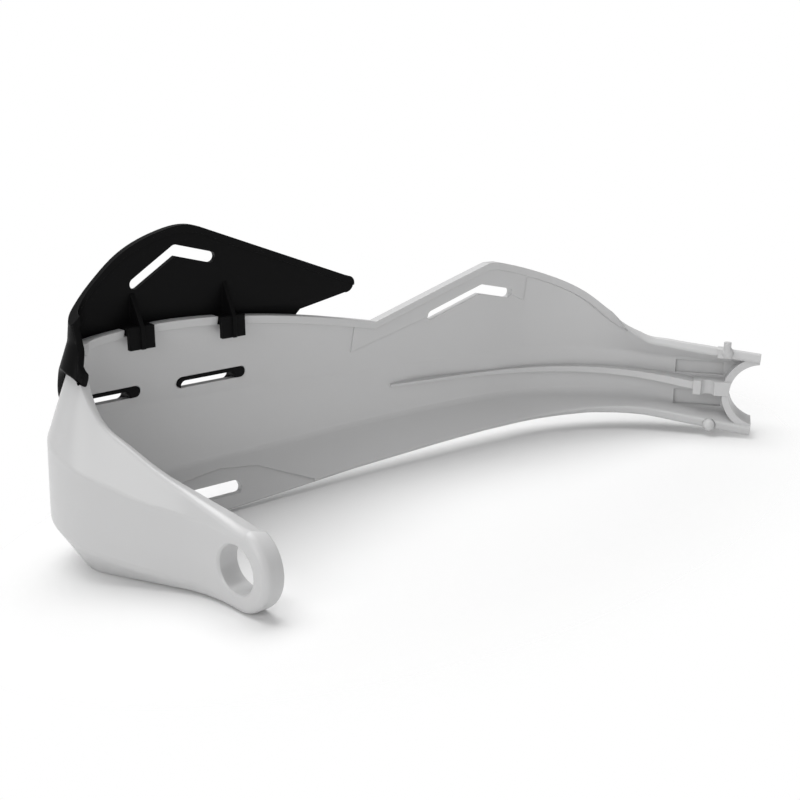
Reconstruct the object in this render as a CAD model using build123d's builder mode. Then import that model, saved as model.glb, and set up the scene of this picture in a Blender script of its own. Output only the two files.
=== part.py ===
from build123d import *
import os
from collections import namedtuple
from math import atan2, degrees

# Left hand guard of an off-road motorcycle, in two mouldings: a light shield that wraps
# the hand from the bar end to the handlebar, and a dark wind deflector clipped over its
# top rim. Origin on the axis of the bar-end hole where its rounded outer rim ends, +X
# inboard along the bar end, +Y forward, +Z up. Millimetres.

# Plan path of the outer face, seen from above, from the bar end round to the handlebar
LUG_RADIUS = 16.0
LUG_WALL = 9.0
LUG_OUTER_ROUND = 3.0
LUG_INNER_ROUND = 1.5
LUG_RUN = 7.0
ARM_BOW_RADIUS = 45.0
ARM_BOW_TURN = 30.0
ARM_RUN = 29.3
BEND_RADIUS = 26.0
BEND_TURN = 126.0
FRONT_RADIUS = 2000.0
FRONT_TURN = 6.2
RETURN_RADIUS = 110.0
RETURN_TURN = 50.0
CLAMP_RUN = 42.0

# Bar-end hole and the saddle that sits against the handlebar
BAR_END_BORE = 18.0
BORE_RIM = 0.8
SADDLE_RADIUS = 15.0
SADDLE_HEIGHT = 22.0
SADDLE_WALL = 3.5
SADDLE_DEPTH = 24.0
LOWER_PRONG_CUT = 5.0

# Cross-sections of the shield. Distance runs along the plan path from the bar-end hole,
# heights are above the ground line, insets are from the path towards the rider.
Section = namedtuple("Section", "distance wall top top_in high low foot foot_in")
SECTIONS = [
    Section(-LUG_RADIUS, LUG_WALL, 2 * LUG_RADIUS, 1.2, 28.0, 4.0, 0.0, 0.4),
    Section(0.0, LUG_WALL, 2 * LUG_RADIUS, 1.2, 28.0, 4.0, 0.0, 0.4),
    Section(14.0, 8.0, 34.5, 2.0, 29.0, 4.5, 0.0, 1.2),
    Section(28.0, 6.5, 40.0, 3.8, 30.5, 5.5, 0.0, 3.0),
    Section(42.0, 5.4, 48.0, 6.8, 34.0, 7.5, 0.0, 6.0),
    Section(56.0, 4.6, 57.0, 9.8, 39.5, 11.0, 0.0, 8.5),
    Section(66.0, 4.2, 66.0, 11.8, 43.5, 14.5, 0.0, 10.0),
    Section(76.0, 3.8, 75.0, 12.6, 47.0, 18.0, 0.0, 11.0),
    Section(88.0, 3.5, 81.0, 13.0, 49.5, 20.0, 0.0, 12.0),
    Section(102.0, 3.2, 86.0, 13.0, 51.0, 20.0, 0.0, 12.0),
    Section(117.0, 3.2, 89.0, 12.8, 51.5, 20.0, 0.0, 12.0),
    Section(140.0, 3.2, 90.0, 12.6, 51.5, 20.0, 0.0, 12.0),
    Section(165.0, 3.2, 90.0, 12.2, 50.5, 20.0, 0.3, 12.0),
    Section(190.0, 3.2, 88.0, 11.6, 49.8, 20.0, 1.3, 12.0),
    Section(215.0, 3.2, 86.0, 11.2, 48.8, 20.5, 2.5, 11.5),
    Section(240.0, 3.2, 86.0, 10.8, 47.5, 21.0, 3.8, 11.0),
    Section(265.0, 3.2, 90.0, 10.8, 46.5, 21.0, 4.8, 11.0),
    Section(290.0, 3.2, 95.0, 10.8, 45.5, 21.0, 6.0, 11.0),
    Section(315.0, 3.2, 97.0, 10.8, 45.5, 20.5, 6.8, 11.0),
    Section(340.0, 3.2, 94.0, 10.8, 45.0, 19.0, 7.2, 11.5),
    Section(362.0, 3.4, 84.0, 10.8, 43.5, 17.0, 7.8, 12.5),
    Section(382.0, 3.8, 72.0, 11.2, 42.0, 14.5, 8.6, 14.0),
    Section(398.0, 4.2, 57.5, 11.6, 41.0, 12.5, 8.6, 15.5),
    Section(412.0, 4.6, 49.4, 12.0, 40.0, 11.0, 8.2, 16.5),
    Section(430.0, 5.0, 47.3, 12.0, 39.5, 9.5, 6.0, 17.0),
    Section(450.0, 5.0, 45.0, 12.0, 39.0, 8.0, 3.3, 17.0),
    Section(471.45, 5.0, 42.6, 12.0, 38.0, 6.5, 0.6, 17.0),
]
SKIN_STEPS = 60
LEAN = 1.0
LEAN_FROM = 50.0
OUTER_CREASE_ROUND = 5.0
INNER_CREASE_ROUND = 4.0
RIM_ROUND_SHARE = 0.33
INNER_RIM_ROUND = 1.0

# Top edge of the front with its fin: (distance, height)
RIM_LEFT_HEIGHT = 80.0
RIM_POINTS = [(104.0, 82.8), (140.0, 85.3), (180.0, 83.0), (214.0, 77.8)]
FIN_VALLEY = (251.0, 70.0)
FIN_PEAK = (314.0, 90.0)
FIN_CREST = (320.0, 89.8)
FIN_SLOPE = [(350.0, 81.5), (375.0, 70.5), (396.0, 55.5)]
FIN_FOOT = (414.0, 48.9)
FRONT_LEFT = -45.0
TRIM_TOP = 130.0
TRIM_REACH = 110.0

# Bead along the inner side of the rim: its depth and height, and where it runs
BEAD_HEIGHT = 3.5
BEAD_DEPTH = 1.4
BEAD_SPAN = (88.0, 412.0)

# Raised panel inside the fin, whose lower crease passes through the slot, and the recess
# around the low slot: (distance, height) along the crease
FIN_PANEL_DEPTH = 0.5
FIN_PANEL_SPAN = (240.0, 340.0)
FIN_PANEL_LINE = [(240.0, 57.0), (284.0, 68.5), (312.0, 77.6), (329.5, 73.6), (340.0, 69.0)]
LOW_RECESS_DEPTH = 0.7
LOW_RECESS_SPAN = (140.0, 215.0)
LOW_RECESS_LINE = [(140.0, 14.0), (172.0, 17.0), (190.0, 15.0), (215.0, 5.0)]

# Round beads on the free edges of the clamp arm, the boss and the nib beside the bolt
FLANGE_BEAD_PROUD = 0.6
FLANGE_BEAD_STEPS = 4
TOP_BEAD_SPAN = (404.0, 454.0)
FOOT_BEAD_SPAN = (404.0, 448.0)
BOSS_RADIUS = 1.8
BOSS_TOP = 47.8
NIB_SPAN = (449.5, 456.0)
NIB_INSETS = (8.0, 15.0)
NIB_HEIGHTS = (39.6, 44.0)

# Vent slots: (distance of the middle, height, length); the fin slot has an elbow
VENT_SLOTS = [(124.0, 57.5, 28.0), (170.0, 57.5, 32.0)]
LOW_SLOT = (160.0, 9.0, 40.0)
SLOT_WIDTH = 5.0
FIN_SLOT_LEFT = (284.0, 68.5)
FIN_SLOT_ELBOW = (312.0, 77.6)
FIN_SLOT_RIGHT = (329.5, 73.6)
FIN_SLOT_WIDTH = 4.6

# Stiffening rib inside the web: (distance, height, depth, thickness)
RIB_DRAFT = 0.5
RIB_ROOT = 1.2
RIB_STATIONS = [
    (264.0, 36.9, 0.6, 1.2),
    (315.0, 34.4, 1.4, 2.0),
    (368.0, 31.1, 3.0, 2.8),
    (409.0, 28.1, 5.5, 3.4),
    (437.0, 25.0, 8.0, 3.8),
    (458.0, 22.0, 9.5, 3.8),
]
BOLT_BLOCK = (439.0, 457.0)
BOLT_BLOCK_MIDDLE = 24.0
BOLT_BLOCK_HEIGHT = 7.0
BOLT_BLOCK_TIP = 15.5
BOLT_GROOVE_AT = 446.0
BOLT_GROOVE_RADIUS = 3.2

# Pockets in the thick web beside the rib
POCKET_FROM = 429.6
POCKET_TO = 453.0
POCKET_FLOOR = 3.6
POCKETS = [(29.0, 35.6), (12.6, 20.0)]
POCKET_MOUTH = 8.0

# Deflector: it lies on the upper facet and stands up from a knee near the rim
DEFLECTOR_WALL = 2.6
SEAT_GAP = 0.4
KNEE_HEIGHT = 84.0
KNEE_MARGIN = 2.0
KNEE_ROUND = 6.0
DEFLECTOR_LEAN = 0.12
DEFLECTOR_RIM_ROUND = 0.9
DEFLECTOR_BEAD_WIDTH = 2.8
DEFLECTOR_BEAD_DEPTH = 0.8
DEFLECTOR_BEAD_FOOT = 88.0
DEFLECTOR_STEPS = 29
Edge = namedtuple("Edge", "distance foot top")
DEFLECTOR_EDGES = [
    Edge(68.0, 70.0, 75.0),
    Edge(76.0, 73.0, 84.0),
    Edge(88.0, 74.0, 95.0),
    Edge(96.0, 72.0, 101.0),
    Edge(107.0, 55.0, 109.0),
    Edge(117.0, 52.5, 116.0),
    Edge(140.0, 52.5, 124.0),
    Edge(165.0, 52.5, 124.0),
    Edge(190.0, 52.5, 124.0),
    Edge(215.0, 52.5, 124.0),
    Edge(242.0, 52.5, 124.0),
]
DEFLECTOR_LEFT_HEIGHT = 86.0
DEFLECTOR_RISE = [(96.0, 92.0), (115.0, 101.0), (128.5, 112.6), (145.5, 120.0), (156.5, 121.6)]
DEFLECTOR_SHOULDER = (163.0, 120.3)
DEFLECTOR_TIP_TOP = (236.0, 92.3)
DEFLECTOR_TIP = (239.5, 89.0)
DEFLECTOR_TIP_LOW = (235.0, 85.0)
DEFLECTOR_AT_RIM = (212.5, 80.5)
SKIRT_RIGHT = (195.0, 60.0)
SKIRT_FOOT = (191.0, 50.0)
DEFLECTOR_SLOT_LEFT = (135.5, 101.0)
DEFLECTOR_SLOT_ELBOW = (152.5, 112.0)
DEFLECTOR_SLOT_RIGHT = (168.5, 107.6)
DEFLECTOR_SLOT_WIDTH = 4.4

# Clips that hook the deflector over the rim, each under a gusset: (distance, rim height)
CLIPS = [(134.0, 85.1), (175.0, 83.4)]
CLIP_WIDTH = 10.5
CLIP_WALL = 2.2
CLIP_DROP = 8.0
NOTCH_DEPTH = 3.0
NOTCH_GAP = 0.4
GUSSET_WALL = 1.6
GUSSET_PROUD = 0.8
GUSSET_TOP = 97.5
CLIP_RISE = 0.8
COLLAR_GAP = 0.3
COLLAR_WALL = 1.5
COLLAR_PROUD = 0.6

GROUND = -LUG_RADIUS

with BuildLine() as plan:
    lug_run = PolarLine((-BORE_RIM, -LUG_RADIUS), LUG_RADIUS + LUG_RUN, 90)
    arm_bow = JernArc(lug_run @ 1, lug_run % 1, ARM_BOW_RADIUS, ARM_BOW_TURN)
    arm_run = PolarLine(arm_bow @ 1, ARM_RUN, direction=arm_bow % 1)
    bend = JernArc(arm_run @ 1, arm_run % 1, BEND_RADIUS, -BEND_TURN)
    front = JernArc(bend @ 1, bend % 1, FRONT_RADIUS, -FRONT_TURN)
    back = JernArc(front @ 1, front % 1, RETURN_RADIUS, -RETURN_TURN)
    clamp_run = PolarLine(back @ 1, CLAMP_RUN, direction=back % 1)
path = plan.wire()


def section_plane(distance):
    """Upright plane across the path: local x runs inward, local y up from the ground."""
    reach = distance + LUG_RADIUS
    point = path.position_at(reach, position_mode=PositionMode.LENGTH)
    along = path.tangent_at(reach, position_mode=PositionMode.LENGTH)
    inward = Vector(along.Y, -along.X, 0)
    return Plane(origin=(point.X, point.Y, GROUND), x_dir=inward, z_dir=-along)


def section_at(distance):
    """The section at a distance, worked out between the two nearest ones."""
    for first, second in zip(SECTIONS, SECTIONS[1:]):
        if distance <= second.distance:
            break
    share = (distance - first.distance) / (second.distance - first.distance)
    return Section(*(a + (b - a) * share for a, b in zip(first, second)))


def stations(rows, steps):
    """Evenly spaced distances from the first to the last row of a table."""
    start = rows[0].distance
    pitch = (rows[-1].distance - start) / steps
    return [start + pitch * count for count in range(steps + 1)]


def lean_at(distance):
    """Inset of the upper crease: none on the flat lug, all of it from the bend on."""
    return LEAN * min(max(distance, 0) / LEAN_FROM, 1)


def outline_points(section):
    """Outer outline of a section from its top edge down to its foot."""
    return [
        Vector(section.top_in, section.top),
        Vector(lean_at(section.distance), section.high),
        Vector(0, section.low),
        Vector(section.foot_in, section.foot),
    ]


def shifted(points, depth):
    """An open outline moved sideways towards the rider, mitred at its corners."""
    normals = []
    for start, end in zip(points, points[1:]):
        run = (end - start).normalized()
        normals.append(Vector(-run.Y, run.X))
    moved = [points[0] + normals[0] * depth]
    for corner, before, after in zip(points[1:-1], normals, normals[1:]):
        moved.append(corner + (before + after) * (depth / (1 + before.dot(after))))
    moved.append(points[-1] + normals[-1] * depth)
    return moved


def inset_at(distance, height):
    """Inset of the outer face at a height, on the upper facet or above it."""
    section = section_at(distance)
    share = (height - section.high) / (section.top - section.high)
    return LEAN + (section.top_in - LEAN) * share


# Vertical plane along the front, looking at it from ahead: local x follows the front
front_start = front @ 0
front_run = (front @ 1 - front_start).normalized()
front_plane = Plane(
    origin=(front_start.X, front_start.Y, GROUND),
    x_dir=front_run,
    z_dir=front_run.cross(Vector(0, 0, 1)),
)


def on_front(distance, height, inset=10.0):
    """A point of the guard, given along the path, as seen on the front plane."""
    point = section_plane(distance).from_local_coords((inset, height))
    local = front_plane.to_local_coords(point)
    return (local.X, local.Y)


def front_slot(points, width):
    """A slot along a bent middle line on the front plane."""
    corners = [Vector(*on_front(*point)) for point in points]
    with BuildSketch(front_plane) as slot:
        for start, end in zip(corners, corners[1:]):
            leg = end - start
            with Locations((start + end) / 2):
                SlotCenterToCenter(leg.length, width, rotation=degrees(atan2(leg.Y, leg.X)))
    return slot.sketch


def region_above_rim(drop):
    """Everything above the rim and fin, or above the same line lowered by a drop."""
    rim_points = [(at, height - drop) for at, height in RIM_POINTS]
    slope_points = [(at, height - drop) for at, height in FIN_SLOPE]
    with BuildSketch(front_plane) as region:
        with BuildLine():
            valley = on_front(FIN_VALLEY[0], FIN_VALLEY[1] - drop)
            peak = on_front(FIN_PEAK[0], FIN_PEAK[1] - drop)
            crest = on_front(FIN_CREST[0], FIN_CREST[1] - drop)
            foot = on_front(FIN_FOOT[0], FIN_FOOT[1] - drop)
            left = (FRONT_LEFT, RIM_LEFT_HEIGHT - drop)
            Spline(left, *[on_front(*point) for point in rim_points], valley)
            Polyline(valley, peak, crest)
            Spline(crest, *[on_front(*point) for point in slope_points], foot)
            Polyline(foot, (foot[0], TRIM_TOP), (FRONT_LEFT, TRIM_TOP), left)
        make_face()
    return region.sketch


def wall_plane(distance, height, inset):
    """Upright plane facing the rider at a point of the wall: local x runs along it."""
    across = section_plane(distance)
    origin = across.from_local_coords((inset, height))
    return Plane(origin=origin, x_dir=-across.z_dir, z_dir=across.x_dir)


def wall_slot(distance, height, length, width, reach):
    """A slot through the wall from the outer face inwards, as a solid of its own."""
    with BuildPart() as slot:
        with BuildSketch(wall_plane(distance, height, -LEAN)):
            SlotOverall(length, width)
        extrude(amount=reach)
    return slot.part


def skin_profile(section):
    """Profile of the C-shaped wall at one section."""
    outer = outline_points(section)
    inner = shifted(outer, section.wall)
    rounds = [section.wall * RIM_ROUND_SHARE, OUTER_CREASE_ROUND, OUTER_CREASE_ROUND]
    rounds += [section.wall * RIM_ROUND_SHARE, INNER_RIM_ROUND]
    rounds += [INNER_CREASE_ROUND, INNER_CREASE_ROUND, INNER_RIM_ROUND]
    with BuildSketch(section_plane(section.distance)) as profile:
        with BuildLine():
            FilletPolyline(*outer, *reversed(inner), radius=rounds, close=True)
        make_face()
    return profile.sketch


def strip_profile(section, facet, rise):
    """Strip along the inner side of a facet, from inside the wall up to a rise above it."""
    outer = outline_points(section)[facet : facet + 2]
    back = shifted(outer, section.wall + min(0, rise) - RIB_DRAFT * (rise > 0))
    face = shifted(outer, section.wall + max(0, rise) + RIB_DRAFT * (rise < 0))
    with BuildSketch(section_plane(section.distance)) as profile:
        with BuildLine():
            Polyline(*back, *reversed(face), close=True)
        make_face()
    return profile.sketch


def facet_strip(span, facet, rise):
    """Strip over the sections within a span, raised above the facet or let into it."""
    rows = [section for section in SECTIONS if span[0] <= section.distance <= span[1]]
    return loft(sections=[strip_profile(section, facet, rise) for section in rows])


def crease_region(line, edge):
    """Everything on the front plane between a crease line and a height beyond it."""
    corners = [on_front(*point) for point in line]
    with BuildSketch(front_plane) as region:
        with BuildLine():
            Polyline(*corners, (corners[-1][0], edge), (corners[0][0], edge), close=True)
        make_face()
    return region.sketch


def flange_bead(corner, span):
    """Round bead along a free edge of the clamp arm, swelling to a ball at its end."""
    rings = []
    for count in range(FLANGE_BEAD_STEPS + 1):
        share = count / FLANGE_BEAD_STEPS
        section = section_at(span[0] + (span[1] - span[0]) * share)
        outer = outline_points(section)
        middle = (outer[corner] + shifted(outer, section.wall)[corner]) / 2
        radius = section.wall / 2 + FLANGE_BEAD_PROUD * share
        with BuildSketch(section_plane(section.distance)) as ring:
            with Locations(middle):
                Circle(radius)
        rings.append(ring.sketch)
    end = section_plane(span[1]).from_local_coords(middle)
    with BuildPart() as bar:
        loft(sections=rings)
        with Locations(end):
            Sphere(radius)
    return bar.part


def rib_profile(distance, height, depth, thickness):
    """Section of the stiffening rib, rooted in the web and drafted towards its tip."""
    wall = section_at(distance).wall
    half = thickness / 2
    root = half + RIB_DRAFT
    with BuildSketch(section_plane(distance)) as profile:
        with BuildLine():
            Polyline(
                (wall - RIB_ROOT, height - root),
                (wall + LEAN + depth, height - half),
                (wall + LEAN + depth, height + half),
                (wall - RIB_ROOT, height + root),
                close=True,
            )
        make_face()
    return profile.sketch


def filled_profile(distance):
    """The clamp end as if it were filled, a little inside its outer face."""
    outline = shifted(outline_points(section_at(distance)), 1.0)
    with BuildSketch(section_plane(distance)) as profile:
        with BuildLine():
            Polyline(*outline, close=True)
        make_face()
    return profile.sketch


UPPER_FACET = 0
LOWER_FACET = 2
CLAMP_END = SECTIONS[-1].distance
saddle_plane = wall_plane(CLAMP_END, SADDLE_HEIGHT, -LEAN)

with BuildPart() as bead:
    facet_strip(BEAD_SPAN, UPPER_FACET, BEAD_DEPTH)
    extrude(region_above_rim(BEAD_HEIGHT), amount=TRIM_REACH, both=True, mode=Mode.INTERSECT)

with BuildPart() as fin_panel:
    facet_strip(FIN_PANEL_SPAN, UPPER_FACET, FIN_PANEL_DEPTH)
    fin_region = crease_region(FIN_PANEL_LINE, TRIM_TOP)
    extrude(fin_region, amount=TRIM_REACH, both=True, mode=Mode.INTERSECT)

with BuildPart() as low_recess:
    facet_strip(LOW_RECESS_SPAN, LOWER_FACET, -LOW_RECESS_DEPTH)
    low_region = crease_region(LOW_RECESS_LINE, -LUG_RADIUS)
    extrude(low_region, amount=TRIM_REACH, both=True, mode=Mode.INTERSECT)

with BuildPart() as lug_trim:
    with Locations((LUG_WALL / 2, -LUG_RADIUS, 0)):
        Box(2 * LUG_WALL, 2 * LUG_RADIUS, 3 * LUG_RADIUS)
    with BuildSketch(Plane.XZ):
        with BuildLine():
            FilletPolyline(
                (-BORE_RIM, 0),
                (-BORE_RIM, LUG_RADIUS),
                (LUG_WALL - BORE_RIM, LUG_RADIUS),
                (LUG_WALL - BORE_RIM, 0),
                radius=[LUG_OUTER_ROUND, LUG_INNER_ROUND],
            )
            Line((LUG_WALL - BORE_RIM, 0), (-BORE_RIM, 0))
        make_face()
    revolve(axis=Axis.X, mode=Mode.SUBTRACT)

with BuildPart() as bore_cut:
    bore_end = LUG_WALL - BORE_RIM
    with BuildSketch(Plane.YZ.offset(-2 * BORE_RIM)):
        Circle(BAR_END_BORE / 2 + 2 * BORE_RIM)
    with BuildSketch(Plane.YZ):
        Circle(BAR_END_BORE / 2)
    loft()
    with BuildSketch(Plane.YZ):
        Circle(BAR_END_BORE / 2)
    extrude(amount=bore_end)

with BuildPart() as saddle_wall:
    loft(sections=[filled_profile(POCKET_FROM), filled_profile(CLAMP_END)])
    with BuildSketch(saddle_plane):
        Circle(SADDLE_RADIUS + SADDLE_WALL)
    extrude(amount=SADDLE_DEPTH, mode=Mode.INTERSECT)

with BuildPart() as web_rib:
    loft(sections=[rib_profile(*station) for station in RIB_STATIONS])
    with BuildSketch(section_plane(BOLT_BLOCK[0])):
        with BuildLine():
            Polyline(
                (LEAN + RIB_ROOT, BOLT_BLOCK_MIDDLE - BOLT_BLOCK_HEIGHT / 2),
                (BOLT_BLOCK_TIP, BOLT_BLOCK_MIDDLE - BOLT_BLOCK_HEIGHT / 2),
                (BOLT_BLOCK_TIP, BOLT_BLOCK_MIDDLE + BOLT_BLOCK_HEIGHT / 2),
                (LEAN + RIB_ROOT, BOLT_BLOCK_MIDDLE + BOLT_BLOCK_HEIGHT / 2),
                close=True,
            )
        make_face()
    extrude(amount=BOLT_BLOCK[0] - BOLT_BLOCK[1])
    groove_axis = section_plane(BOLT_GROOVE_AT).from_local_coords((BOLT_BLOCK_TIP, 0))
    with BuildSketch(Plane(origin=groove_axis)):
        Circle(BOLT_GROOVE_RADIUS)
    extrude(amount=SADDLE_HEIGHT * 2, mode=Mode.SUBTRACT)

with BuildPart() as shield:
    loft(sections=[skin_profile(section_at(at)) for at in stations(SECTIONS, SKIN_STEPS)])
    add(bead.part)
    add(fin_panel.part)
    extrude(region_above_rim(0), amount=TRIM_REACH, both=True, mode=Mode.SUBTRACT)
    add(low_recess.part, mode=Mode.SUBTRACT)

    # Rounded end of the bar-end lug, and its bore with softened rims
    add(lug_trim.part, mode=Mode.SUBTRACT)
    add(bore_cut.part, mode=Mode.SUBTRACT)

    # Clamp end: pockets, rib, then the saddle bored through everything
    for foot, top in POCKETS:
        with BuildSketch(section_plane(POCKET_FROM)):
            with BuildLine():
                Polyline(
                    (POCKET_FLOOR, foot),
                    (POCKET_MOUTH, foot),
                    (POCKET_MOUTH, top),
                    (POCKET_FLOOR, top),
                    close=True,
                )
            make_face()
        extrude(amount=POCKET_FROM - POCKET_TO, mode=Mode.SUBTRACT)
    add(web_rib.part)
    add(saddle_wall.part)
    add(flange_bead(0, TOP_BEAD_SPAN))
    add(flange_bead(-1, FOOT_BEAD_SPAN))
    boss_section = section_at(TOP_BEAD_SPAN[1])
    boss_inset = boss_section.top_in + boss_section.wall / 2
    boss_foot = section_plane(TOP_BEAD_SPAN[1]).from_local_coords((boss_inset, boss_section.top))
    with Locations(boss_foot - Vector(0, 0, BOSS_RADIUS)):
        boss_height = BOSS_TOP - boss_section.top + BOSS_RADIUS
        Cylinder(BOSS_RADIUS, boss_height, align=(Align.CENTER, Align.CENTER, Align.MIN))
    with BuildSketch(section_plane(NIB_SPAN[0])):
        with Locations((sum(NIB_INSETS) / 2, sum(NIB_HEIGHTS) / 2)):
            Rectangle(NIB_INSETS[1] - NIB_INSETS[0], NIB_HEIGHTS[1] - NIB_HEIGHTS[0])
    extrude(amount=NIB_SPAN[0] - NIB_SPAN[1])
    with BuildSketch(saddle_plane):
        Circle(SADDLE_RADIUS)
    extrude(amount=SADDLE_DEPTH, mode=Mode.SUBTRACT)

    with BuildSketch(saddle_plane):
        with BuildLine():
            Polyline(
                (0, SADDLE_HEIGHT + SADDLE_RADIUS),
                (-LOWER_PRONG_CUT, -SADDLE_HEIGHT - LUG_RADIUS),
                (SADDLE_DEPTH, -SADDLE_HEIGHT - LUG_RADIUS),
                (SADDLE_DEPTH, SADDLE_HEIGHT + SADDLE_RADIUS),
                close=True,
            )
        make_face()
    extrude(amount=SADDLE_DEPTH, mode=Mode.SUBTRACT)

    # Slots, and notches for the clips of the deflector
    for distance, height, length in VENT_SLOTS + [LOW_SLOT]:
        add(wall_slot(distance, height, length, SLOT_WIDTH, SADDLE_DEPTH), mode=Mode.SUBTRACT)
    fin_slot = front_slot([FIN_SLOT_LEFT, FIN_SLOT_ELBOW, FIN_SLOT_RIGHT], FIN_SLOT_WIDTH)
    extrude(fin_slot, amount=TRIM_REACH, both=True, mode=Mode.SUBTRACT)
    for distance, rim in CLIPS:
        with BuildSketch(wall_plane(distance, rim, 0)):
            Rectangle(CLIP_WIDTH + 2 * NOTCH_GAP, 2 * NOTCH_DEPTH)
        extrude(amount=SADDLE_DEPTH, mode=Mode.SUBTRACT)


def edge_at(distance):
    """Foot and top of the deflector's wall at a distance, between the two nearest ones."""
    for first, second in zip(DEFLECTOR_EDGES, DEFLECTOR_EDGES[1:]):
        if distance <= second.distance:
            break
    share = (distance - first.distance) / (second.distance - first.distance)
    return Edge(*(a + (b - a) * share for a, b in zip(first, second)))


def deflector_line(edge):
    """Inner face of the deflector at one section: top, knee and foot."""
    knee = min(KNEE_HEIGHT, edge.top - KNEE_MARGIN)
    knee_in = inset_at(edge.distance, knee)
    top_in = knee_in + (edge.top - knee) * DEFLECTOR_LEAN
    foot_in = inset_at(edge.distance, edge.foot)
    line = [Vector(top_in, edge.top), Vector(knee_in, knee), Vector(foot_in, edge.foot)]
    return shifted(line, -SEAT_GAP)


def deflector_profile(edge):
    """Profile of the deflector's wall at one section."""
    inner = deflector_line(edge)
    outer = shifted(inner, -DEFLECTOR_WALL)
    rounds = [DEFLECTOR_RIM_ROUND, KNEE_ROUND, DEFLECTOR_RIM_ROUND]
    with BuildSketch(section_plane(edge.distance)) as profile:
        with BuildLine():
            FilletPolyline(*inner, *reversed(outer), radius=rounds + rounds, close=True)
        make_face()
    return profile.sketch


def deflector_region():
    """Outline of the deflector on the front plane."""
    with BuildSketch(front_plane) as region:
        with BuildLine():
            left = (FRONT_LEFT, DEFLECTOR_LEFT_HEIGHT)
            shoulder = on_front(*DEFLECTOR_SHOULDER)
            Spline(left, *[on_front(*point) for point in DEFLECTOR_RISE], shoulder)
            Line(shoulder, on_front(*DEFLECTOR_TIP_TOP))
            ThreePointArc(
                on_front(*DEFLECTOR_TIP_TOP),
                on_front(*DEFLECTOR_TIP),
                on_front(*DEFLECTOR_TIP_LOW),
            )
            foot = on_front(*SKIRT_FOOT)
            Polyline(
                on_front(*DEFLECTOR_TIP_LOW),
                on_front(*DEFLECTOR_AT_RIM),
                on_front(*SKIRT_RIGHT),
                foot,
                (FRONT_LEFT, foot[1]),
                left,
            )
        make_face()
    return region.sketch


def clip_profile(distance, rim):
    """Hook of a clip: over the rim through its notch and down the inner side."""
    back = inset_at(distance, rim) - SEAT_GAP - DEFLECTOR_WALL / 2
    hook = inset_at(distance, rim) + section_at(distance).wall + BEAD_DEPTH + NOTCH_GAP
    under = rim - NOTCH_DEPTH + NOTCH_GAP
    with BuildSketch(section_plane(distance)) as profile:
        with BuildLine():
            Polyline(
                (back, under),
                (hook, under),
                (hook, rim - CLIP_DROP),
                (hook + CLIP_WALL, rim - CLIP_DROP),
                (hook + CLIP_WALL, rim + CLIP_RISE),
                (back, rim + CLIP_RISE),
                close=True,
            )
        make_face()
    return profile.sketch


def gusset_profile(distance, rim):
    """Gusset from the deflector's inner face to the clip, ending in a rib down the clip."""
    back = inset_at(distance, rim) - SEAT_GAP - DEFLECTOR_WALL / 2
    lean = (GUSSET_TOP - rim) * DEFLECTOR_LEAN
    hook = inset_at(distance, rim) + section_at(distance).wall + BEAD_DEPTH + NOTCH_GAP
    middle = hook + CLIP_WALL / 2
    face = hook + CLIP_WALL + GUSSET_PROUD
    with BuildSketch(section_plane(distance)) as profile:
        with BuildLine():
            Polyline(
                (back, rim),
                (middle, rim),
                (middle, rim - CLIP_DROP),
                (face, rim - CLIP_DROP),
                (face, rim + CLIP_RISE),
                (back + lean + DEFLECTOR_WALL / 2, GUSSET_TOP),
                close=True,
            )
        make_face()
    return profile.sketch


def deflector_strip(edge):
    """Strip along the inner face of the deflector above the clips."""
    face = deflector_line(edge)[:2]
    back = shifted(face, -RIB_DRAFT)
    front = shifted(face, DEFLECTOR_BEAD_DEPTH)
    with BuildSketch(section_plane(edge.distance)) as profile:
        with BuildLine():
            Polyline(*back, *reversed(front), close=True)
        make_face()
    return profile.sketch


edges = [edge_at(at) for at in stations(DEFLECTOR_EDGES, DEFLECTOR_STEPS)]

with BuildPart() as deflector_bead:
    loft(sections=[deflector_strip(edge) for edge in edges])
    extrude(deflector_region(), amount=TRIM_REACH, both=True, mode=Mode.INTERSECT)
    inside = Pos(0, 0, -DEFLECTOR_BEAD_WIDTH) * deflector_region()
    extrude(inside, amount=TRIM_REACH, both=True, mode=Mode.SUBTRACT)
    split(bisect_by=Plane.XY.offset(DEFLECTOR_BEAD_FOOT + GROUND), keep=Keep.TOP)

with BuildPart() as deflector:
    loft(sections=[deflector_profile(edge) for edge in edges])
    add(deflector_bead.part)
    extrude(deflector_region(), amount=TRIM_REACH, both=True, mode=Mode.INTERSECT)
    elbow = [DEFLECTOR_SLOT_LEFT, DEFLECTOR_SLOT_ELBOW, DEFLECTOR_SLOT_RIGHT]
    extrude(front_slot(elbow, DEFLECTOR_SLOT_WIDTH), amount=TRIM_REACH, both=True, mode=Mode.SUBTRACT)

    # Clips with their gussets
    for distance, rim in CLIPS:
        extrude(clip_profile(distance, rim), amount=CLIP_WIDTH / 2, both=True)
        extrude(gusset_profile(distance, rim), amount=GUSSET_WALL / 2, both=True)

    # Collars that reach through the vent slots of the shield: a tongue along the top and
    # the left end, and a solid peg at the right end
    peg = SLOT_WIDTH - 2 * COLLAR_GAP
    for distance, height, length in VENT_SLOTS:
        face = inset_at(distance, height)
        proud = section_at(distance).wall + COLLAR_PROUD
        with BuildSketch(wall_plane(distance, height, face - DEFLECTOR_WALL)):
            SlotOverall(length - 2 * COLLAR_GAP, peg)
        extrude(amount=DEFLECTOR_WALL + proud)
        vent_length = length - 2 * COLLAR_GAP - COLLAR_WALL - peg
        with BuildSketch(wall_plane(distance, height, -3 * DEFLECTOR_WALL)):
            with Locations(((COLLAR_WALL - peg) / 2, -COLLAR_WALL)):
                SlotOverall(vent_length, peg)
        extrude(amount=SADDLE_DEPTH, mode=Mode.SUBTRACT)

shield.part.label = "shield"
deflector.part.label = "deflector"

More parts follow.
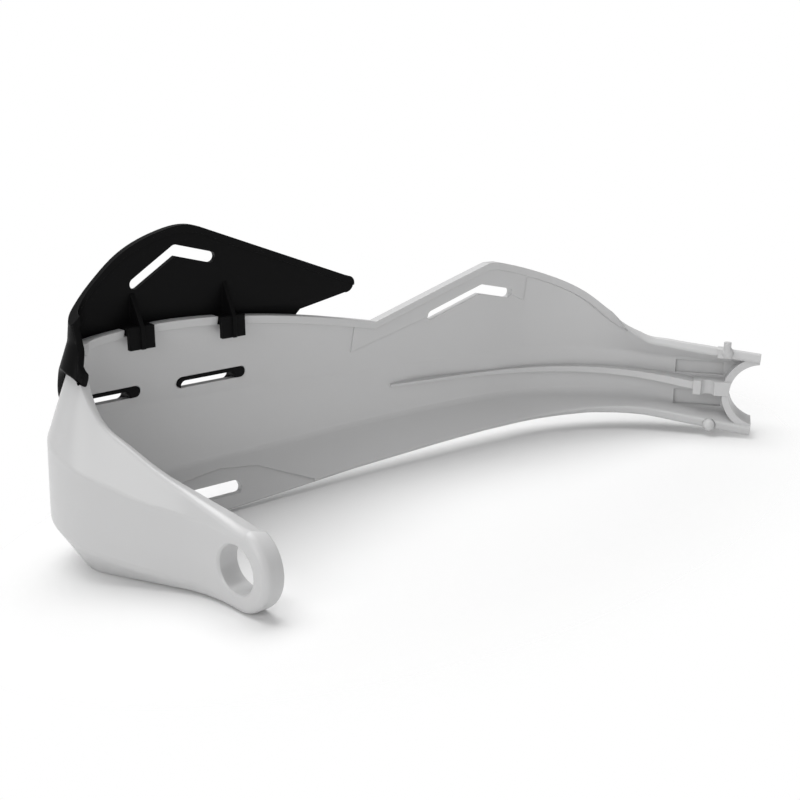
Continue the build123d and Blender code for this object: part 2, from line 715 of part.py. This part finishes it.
os.makedirs("parts", exist_ok=True)
export_step(shield.part, "parts/shield.step")
export_step(deflector.part, "parts/deflector.step")
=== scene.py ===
# %% [markdown]
# # Motorcycle hand guard
#
# This scene shows the left hand guard of an off-road motorcycle: a light grey-white shield
# moulded in one piece, and a black wind deflector clipped over its top rim. Both are
# injection mouldings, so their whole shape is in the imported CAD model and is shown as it
# is. Blender adds what CAD doesn't hold: how the plastics take the light, how softly an edge
# turns, a floor to stand on, studio lamps and a camera.
#
# Lengths are in metres, in the part's own frame. The origin is in the bar-end hole, X runs
# along the guard towards the saddle on the handlebar, Y points forward and Z up.

import math

import bpy
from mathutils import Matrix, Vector


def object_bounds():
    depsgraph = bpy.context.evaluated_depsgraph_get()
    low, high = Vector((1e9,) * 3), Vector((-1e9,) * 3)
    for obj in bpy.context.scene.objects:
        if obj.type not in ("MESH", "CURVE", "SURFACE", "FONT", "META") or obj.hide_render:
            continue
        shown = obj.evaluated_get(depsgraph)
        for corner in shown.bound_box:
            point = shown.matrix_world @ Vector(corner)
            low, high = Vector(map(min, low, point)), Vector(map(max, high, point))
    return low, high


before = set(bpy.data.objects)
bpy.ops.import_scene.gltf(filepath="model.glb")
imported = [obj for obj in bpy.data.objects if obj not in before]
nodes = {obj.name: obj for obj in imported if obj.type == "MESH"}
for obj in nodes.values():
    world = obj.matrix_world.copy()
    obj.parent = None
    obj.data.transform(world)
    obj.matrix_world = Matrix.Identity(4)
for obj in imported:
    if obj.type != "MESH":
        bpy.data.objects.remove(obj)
size_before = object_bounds()
print("CAD nodes:", sorted(nodes))
print("lowest and highest corner:", [tuple(round(v, 4) for v in corner) for corner in size_before])

# %% [markdown]
# ## Helpers for shaders
#
# A material could be one long chain of nodes, but the two plastics share most of their
# effects. So each effect, such as the orange peel of a moulded surface, is a shader node
# group with named sockets, built once and used twice. These two helpers keep that short: one
# makes an empty group with its sockets, the other adds a node and links its inputs.


# %% Helpers for groups and nodes
def new_group(name, inputs, outputs):
    """An empty shader node group; inputs are (name, kind, default), outputs (name, kind)."""
    group = bpy.data.node_groups.new(name, "ShaderNodeTree")
    for title, kind, default in inputs:
        socket = group.interface.new_socket(title, in_out="INPUT", socket_type="NodeSocket" + kind)
        if default is not None:
            socket.default_value = default
    for title, kind in outputs:
        group.interface.new_socket(title, in_out="OUTPUT", socket_type="NodeSocket" + kind)
    return group, group.nodes.new("NodeGroupInput"), group.nodes.new("NodeGroupOutput")


def add_node(tree, kind, inputs=None, **settings):
    """A node with its settings; an input is a value, or the output socket that feeds it."""
    node = tree.nodes.new(kind)
    for key, value in settings.items():
        setattr(node, key, value)
    for key, value in (inputs or {}).items():
        if isinstance(value, bpy.types.NodeSocket):
            tree.links.new(value, node.inputs[key])
        else:
            node.inputs[key].default_value = value
    return node


print("helpers:", new_group.__name__, add_node.__name__)

# %% [markdown]
# ## Moulded skin
#
# The skin of a moulding isn't a perfect mirror. It swells a little over centimetres where
# the plastic shrank, has a fine orange peel over a millimetre, and a faint grain below that.
# None of this is deep enough to be worth real geometry, so three heights are added as bumps.
#
# A moulded edge is never knife-sharp either. A Bevel modifier would have to merge and cut
# the dense CAD mesh, so a Bevel shader node rounds the edges off in the shading alone, and
# the bumps start from the normal that it gives.

# %% Shader group: moulded skin
EDGE_RADIUS = 0.0005
EDGE_SAMPLES = 8
SWELL_SCALE, SWELL_HEIGHT = 55.0, 0.0012
PEEL_SCALE, PEEL_HEIGHT = 900.0, 0.00012
GRAIN_SCALE, GRAIN_HEIGHT = 5000.0, 0.00004


def make_skin_bump():
    """Normal of a moulded surface: sink swell, orange peel and grain, each with a strength."""
    group, source, result = new_group(
        "moulded skin",
        [
            ("Vector", "Vector", None),
            ("Swell", "Float", 0.3),
            ("Peel", "Float", 0.3),
            ("Grain", "Float", 0.1),
            ("Peel Size", "Float", PEEL_SCALE),
            ("Grain Size", "Float", GRAIN_SCALE),
        ],
        [("Normal", "Vector"), ("Peel Height", "Float")],
    )
    place = source.outputs["Vector"]
    swell = add_node(group, "ShaderNodeTexNoise",
                     {"Vector": place, "Scale": SWELL_SCALE, "Detail": 1.0})
    peel = add_node(group, "ShaderNodeTexNoise",
                    {"Vector": place, "Scale": source.outputs["Peel Size"],
                     "Detail": 2.0, "Roughness": 0.45})
    grain = add_node(group, "ShaderNodeTexVoronoi",
                     {"Vector": place, "Scale": source.outputs["Grain Size"]},
                     feature="SMOOTH_F1")
    normal = add_node(group, "ShaderNodeBevel", {"Radius": EDGE_RADIUS},
                      samples=EDGE_SAMPLES).outputs["Normal"]
    for strength, distance, height in (
        ("Swell", SWELL_HEIGHT, swell.outputs["Fac"]),
        ("Peel", PEEL_HEIGHT, peel.outputs["Fac"]),
        ("Grain", GRAIN_HEIGHT, grain.outputs["Distance"]),
    ):
        bump = add_node(group, "ShaderNodeBump",
                        {"Strength": source.outputs[strength], "Distance": distance,
                         "Height": height, "Normal": normal})
        normal = bump.outputs["Normal"]
    group.links.new(normal, result.inputs["Normal"])
    group.links.new(peel.outputs["Fac"], result.inputs["Peel Height"])
    return group


skin_bump = make_skin_bump()
print("made group:", skin_bump.name, "with", len(skin_bump.nodes), "nodes")

# %% [markdown]
# ## Hairline scuffs
#
# Handling leaves short hairlines that only show where light glances off. A picture of
# scratches would need an unwrapped mesh, so the lines are stretched noise instead, turned
# two ways, of which only the peaks are kept. A coarse noise confines them to a few patches.
# The group returns a mask from 0 to its density, and the material dulls the surface there.

# %% Shader group: hairline scuffs
HAIRLINES = ((0.5, (3200.0, 90.0, 120.0)), (2.2, (100.0, 2900.0, 90.0)))
HAIRLINE_PEAKS = {"From Min": 0.66, "From Max": 0.74}
PATCH_SCALE = 38.0
PATCH_PEAKS = {"From Min": 0.5, "From Max": 0.68}


def make_scuffs():
    """Mask of sparse hairlines in two directions."""
    group, source, result = new_group(
        "hairline scuffs",
        [("Vector", "Vector", None), ("Density", "Float", 0.5)],
        [("Mask", "Float")],
    )
    place = source.outputs["Vector"]
    patches = add_node(group, "ShaderNodeTexNoise",
                       {"Vector": place, "Scale": PATCH_SCALE, "Detail": 2.0})
    keep = add_node(group, "ShaderNodeMapRange",
                    {"Value": patches.outputs["Fac"], **PATCH_PEAKS})
    lines = []
    for turn, stretch in HAIRLINES:
        mapping = add_node(group, "ShaderNodeMapping",
                           {"Vector": place, "Rotation": (0.3, 0.2, turn), "Scale": stretch})
        noise = add_node(group, "ShaderNodeTexNoise",
                         {"Vector": mapping.outputs["Vector"], "Scale": 1.0, "Detail": 1.0})
        lines.append(add_node(group, "ShaderNodeMapRange",
                              {"Value": noise.outputs["Fac"], **HAIRLINE_PEAKS}))
    mask = add_node(group, "ShaderNodeMath",
                    {0: lines[0].outputs["Result"], 1: lines[1].outputs["Result"]},
                    operation="MAXIMUM").outputs["Value"]
    for share in (keep.outputs["Result"], source.outputs["Density"]):
        mask = add_node(group, "ShaderNodeMath", {0: mask, 1: share},
                        operation="MULTIPLY").outputs["Value"]
    group.links.new(mask, result.inputs["Mask"])
    return group


scuffs = make_scuffs()
print("made group:", scuffs.name, "with", len(scuffs.nodes), "nodes")

# %% [markdown]
# ## Tint of the batch
#
# Coloured plastic is never one flat tone. Slow clouds make it a little lighter or darker,
# and stretched flow marks follow the melt along the shield's length. Both are noise that
# mixes a base tone with a second one close to it, so the drift stays below what the eye
# would call a stain.

# %% Shader group: batch tint
CLOUD_SCALE = 14.0
FLOW_STRETCH = (9.0, 60.0, 120.0)
MIX_FIRST, MIX_SECOND, MIX_RESULT = 6, 7, 2  # the colour sockets of a Mix node


def make_batch_tint():
    """Colour with slow clouds and faint flow marks, mixed from a base and a second tone."""
    group, source, result = new_group(
        "batch tint",
        [
            ("Vector", "Vector", None),
            ("Base", "Color", (0.8, 0.8, 0.8, 1.0)),
            ("Second", "Color", (0.75, 0.75, 0.75, 1.0)),
            ("Clouds", "Float", 0.5),
            ("Flow", "Float", 0.2),
        ],
        [("Color", "Color")],
    )
    place = source.outputs["Vector"]
    clouds = add_node(group, "ShaderNodeTexNoise",
                      {"Vector": place, "Scale": CLOUD_SCALE, "Detail": 3.0})
    stretch = add_node(group, "ShaderNodeMapping", {"Vector": place, "Scale": FLOW_STRETCH})
    flow = add_node(group, "ShaderNodeTexNoise",
                    {"Vector": stretch.outputs["Vector"], "Scale": 1.0, "Detail": 4.0,
                     "Distortion": 0.6})
    cloud_share = add_node(group, "ShaderNodeMath",
                           {0: clouds.outputs["Fac"], 1: source.outputs["Clouds"]},
                           operation="MULTIPLY")
    both = add_node(group, "ShaderNodeMath",
                    {0: flow.outputs["Fac"], 1: source.outputs["Flow"],
                     2: cloud_share.outputs["Value"]},
                    operation="MULTIPLY_ADD")
    mixed = add_node(group, "ShaderNodeMix",
                     {"Factor": both.outputs["Value"], MIX_FIRST: source.outputs["Base"],
                      MIX_SECOND: source.outputs["Second"]},
                     data_type="RGBA")
    group.links.new(mixed.outputs[MIX_RESULT], result.inputs["Color"])
    return group


batch_tint = make_batch_tint()
print("made group:", batch_tint.name, "with", len(batch_tint.nodes), "nodes")

# %% [markdown]
# ## The two plastics
#
# Both mouldings are the same kind of plastic in two colours, so one function makes both from
# the three groups, with different values. The shield is a light, slightly translucent
# polypropylene with a satin gloss: its skin is nearly smooth. The deflector is black, more
# finely grained and duller. Everything reads Object coordinates, so no mesh has to be
# unwrapped and the grain keeps its real size.

# %% Materials of the shield and the deflector
ROUGHNESS_DRIFT = 0.015
SCUFF_DULLING = 0.25
PLASTIC_IOR = 1.49
SCATTER_DEPTH = 0.002
SCATTER_COLOUR = (1.0, 0.95, 0.9)


def make_plastic(name, base, second, roughness, swell, peel, grain, scuff, subsurface, specular):
    """A moulded plastic on object coordinates."""
    material = bpy.data.materials.new(name)
    material.use_nodes = True
    tree = material.node_tree
    tree.nodes.clear()
    place = add_node(tree, "ShaderNodeTexCoord").outputs["Object"]
    tint = add_node(tree, "ShaderNodeGroup", node_tree=batch_tint)
    skin = add_node(tree, "ShaderNodeGroup", node_tree=skin_bump)
    marks = add_node(tree, "ShaderNodeGroup", node_tree=scuffs)
    for node in (tint, skin, marks):
        tree.links.new(place, node.inputs["Vector"])
    tint.inputs["Base"].default_value = base
    tint.inputs["Second"].default_value = second
    skin.inputs["Swell"].default_value = swell
    skin.inputs["Peel"].default_value = peel
    skin.inputs["Grain"].default_value = grain
    marks.inputs["Density"].default_value = scuff
    peeled = add_node(tree, "ShaderNodeMapRange",
                      {"Value": skin.outputs["Peel Height"], "From Min": 0.3, "From Max": 0.7,
                       "To Min": roughness - ROUGHNESS_DRIFT,
                       "To Max": roughness + ROUGHNESS_DRIFT})
    rough = add_node(tree, "ShaderNodeMath",
                     {0: marks.outputs["Mask"], 1: SCUFF_DULLING, 2: peeled.outputs["Result"]},
                     operation="MULTIPLY_ADD")
    surface = add_node(tree, "ShaderNodeBsdfPrincipled",
                       {"Base Color": tint.outputs["Color"], "Roughness": rough.outputs["Value"],
                        "Normal": skin.outputs["Normal"], "IOR": PLASTIC_IOR,
                        "Specular IOR Level": specular,
                        "Subsurface Weight": subsurface, "Subsurface Scale": SCATTER_DEPTH,
                        "Subsurface Radius": SCATTER_COLOUR})
    output = add_node(tree, "ShaderNodeOutputMaterial")
    tree.links.new(surface.outputs["BSDF"], output.inputs["Surface"])
    return material


shield_plastic = make_plastic(
    "light polypropylene", (0.57, 0.57, 0.572, 1.0), (0.54, 0.54, 0.542, 1.0),
    roughness=0.3, swell=0.04, peel=0.015, grain=0.008, scuff=0.05, subsurface=0.1, specular=0.5,
)
deflector_plastic = make_plastic(
    "black polypropylene", (0.0042, 0.0042, 0.0044, 1.0), (0.0055, 0.0055, 0.0058, 1.0),
    roughness=0.42, swell=0.08, peel=0.25, grain=0.35, scuff=0.4, subsurface=0.0, specular=0.06,
)
print("materials:", shield_plastic.name, deflector_plastic.name)

# %% [markdown]
# ## Put the plastics on the mouldings
#
# Each moulding keeps its CAD mesh and the normals that come with it. Copying the meshes to
# finish them further would only risk a shape that no longer fits the part, so the material
# alone is set.


# %% Dress the shield and the deflector
def dress(name, material):
    """Gives a CAD node its material."""
    mesh = nodes[name].data
    mesh.materials.clear()
    mesh.materials.append(material)
    print(name, len(mesh.polygons), "faces")


dress("shield", shield_plastic)
dress("deflector", deflector_plastic)

# %% [markdown]
# ## Floor
#
# The guard was photographed on a plain white sweep of paper that fades out around it. A
# curved backdrop would show its bend from some sides, so the floor is one flat plane. Its
# pale grey takes the soft shadow, and in an oval around the guard it turns transparent for
# the camera alone, so the picture ends in white while the light that the floor gives back
# to the guard stays the same.

# %% A pale floor that fades out for the camera
FLOOR_WIDTH = 4.0
FLOOR_GAP = 0.00005
FLOOR_TONE = 0.82
FLOOR_OVAL = (1.0, 1.8, 1.0)
FADE_START, FADE_END = 0.14, 0.27


def make_floor_material():
    """Matt pale paper, hidden from camera rays outside an oval around its middle."""
    material = bpy.data.materials.new("floor_white")
    material.use_nodes = True
    tree = material.node_tree
    tree.nodes.clear()
    paper = add_node(tree, "ShaderNodeBsdfPrincipled",
                     {"Base Color": (FLOOR_TONE, FLOOR_TONE, FLOOR_TONE, 1.0),
                      "Roughness": 0.75, "Specular IOR Level": 0.1})
    place = add_node(tree, "ShaderNodeTexCoord")
    oval = add_node(tree, "ShaderNodeVectorMath",
                    {0: place.outputs["Object"], 1: FLOOR_OVAL}, operation="MULTIPLY")
    distance = add_node(tree, "ShaderNodeVectorMath",
                        {0: oval.outputs["Vector"]}, operation="LENGTH")
    fade = add_node(tree, "ShaderNodeMapRange",
                    {"Value": distance.outputs["Value"], "From Min": FADE_START,
                     "From Max": FADE_END},
                    interpolation_type="SMOOTHSTEP")
    rays = add_node(tree, "ShaderNodeLightPath")
    hidden = add_node(tree, "ShaderNodeMath",
                      {0: fade.outputs["Result"], 1: rays.outputs["Is Camera Ray"]},
                      operation="MULTIPLY")
    gone = add_node(tree, "ShaderNodeBsdfTransparent")
    mix = add_node(tree, "ShaderNodeMixShader",
                   {0: hidden.outputs["Value"], 1: paper.outputs["BSDF"],
                    2: gone.outputs["BSDF"]})
    output = add_node(tree, "ShaderNodeOutputMaterial")
    tree.links.new(mix.outputs["Shader"], output.inputs["Surface"])
    return material


middle = (size_before[0] + size_before[1]) / 2
floor_height = size_before[0].z - FLOOR_GAP
bpy.ops.mesh.primitive_plane_add(size=FLOOR_WIDTH, location=(middle.x, middle.y, floor_height))
floor = bpy.context.object
floor.name = "floor"
floor.data.materials.append(make_floor_material())
print("floor at z =", round(floor_height, 5))

# %% [markdown]
# ## Backdrop
#
# The background is pure white, but a world of that strength would light the guard from all
# sides and wash out its form. So the world has two strengths: white for the rays that come
# straight from the camera, also those that pass the faded floor, and a low fill for all the
# others.

# %% A white world that lights the guard only a little
FILL_STRENGTH = 0.3
WHITE_STRENGTH = 1.0
WHITE = (1.0, 1.0, 1.0, 1.0)

world = bpy.data.worlds.new("studio")
bpy.context.scene.world = world
world.use_nodes = True
sky = world.node_tree
sky.nodes.clear()
rays = add_node(sky, "ShaderNodeLightPath")
fill = add_node(sky, "ShaderNodeBackground", {"Color": WHITE, "Strength": FILL_STRENGTH})
seen = add_node(sky, "ShaderNodeBackground", {"Color": WHITE, "Strength": WHITE_STRENGTH})
choose = add_node(sky, "ShaderNodeMixShader",
                  {0: rays.outputs["Is Camera Ray"], 1: fill.outputs["Background"],
                   2: seen.outputs["Background"]})
world_out = add_node(sky, "ShaderNodeOutputWorld")
sky.links.new(choose.outputs["Shader"], world_out.inputs["Surface"])
print("world fill", FILL_STRENGTH, "and white for the camera")

# %% [markdown]
# ## Soft studio light
#
# The shadows in such a product picture have no hard line, so every lamp is a softbox: a
# large area light, wide against its distance. The first hangs high above the outer side of
# the guard, so the shadow falls softly towards the viewer and the floor lights the inner
# wall. A weaker one lights the outer side of the arm from the left, and a faint one lifts the
# inner wall from the rider's side. Their powers add up to a level at which a colour renders
# about as it is written.

# %% Three softboxes
# name, place, what it points at, width, height, power in watts
SOFTBOXES = (
    ("top", (0.15, 0.38, 1.25), (0.15, 0.03, 0.0), 1.4, 0.9, 17.5),
    ("side", (-1.0, -0.25, 0.5), (0.05, 0.0, 0.02), 0.8, 0.8, 4.8),
    ("inner", (0.0, -0.9, 0.3), (0.22, 0.03, 0.02), 0.8, 0.4, 0.65),
)

for name, place, aim, width, height, power in SOFTBOXES:
    lamp = bpy.data.lights.new(name, "AREA")
    lamp.shape = "RECTANGLE"
    lamp.size = width
    lamp.size_y = height
    lamp.energy = power
    softbox = bpy.data.objects.new(name, lamp)
    bpy.context.scene.collection.objects.link(softbox)
    softbox.location = place
    softbox.rotation_euler = (Vector(aim) - Vector(place)).to_track_quat("-Z", "Y").to_euler()
    print("softbox", name, power, "W")

# %% [markdown]
# ## Camera
#
# The camera stands behind the bar end on the rider's side, a little above the guard, and
# looks forward and inboard along it. A long lens from further off would flatten the guard;
# this one stands near, so the lug comes towards the viewer as it does in the photograph.
# The view transform is Standard, which shows the tones as they are lit.

# %% Camera and view
CAMERA_PLACE = (-0.22866, -0.28895, 0.168)
CAMERA_TILT, CAMERA_HEADING = 73.5, -47.0
CAMERA_LENS = 52.74
SENSOR_WIDTH = 36.0
NEAREST = 0.01

camera_data = bpy.data.cameras.new("camera")
camera_data.lens = CAMERA_LENS
camera_data.sensor_width = SENSOR_WIDTH
camera_data.clip_start = NEAREST
camera = bpy.data.objects.new("camera", camera_data)
bpy.context.scene.collection.objects.link(camera)
camera.location = CAMERA_PLACE
camera.rotation_euler = (math.radians(CAMERA_TILT), 0.0, math.radians(CAMERA_HEADING))
bpy.context.scene.camera = camera
bpy.context.scene.view_settings.view_transform = "Standard"
print("camera at", CAMERA_PLACE, "with a lens of", CAMERA_LENS, "mm")
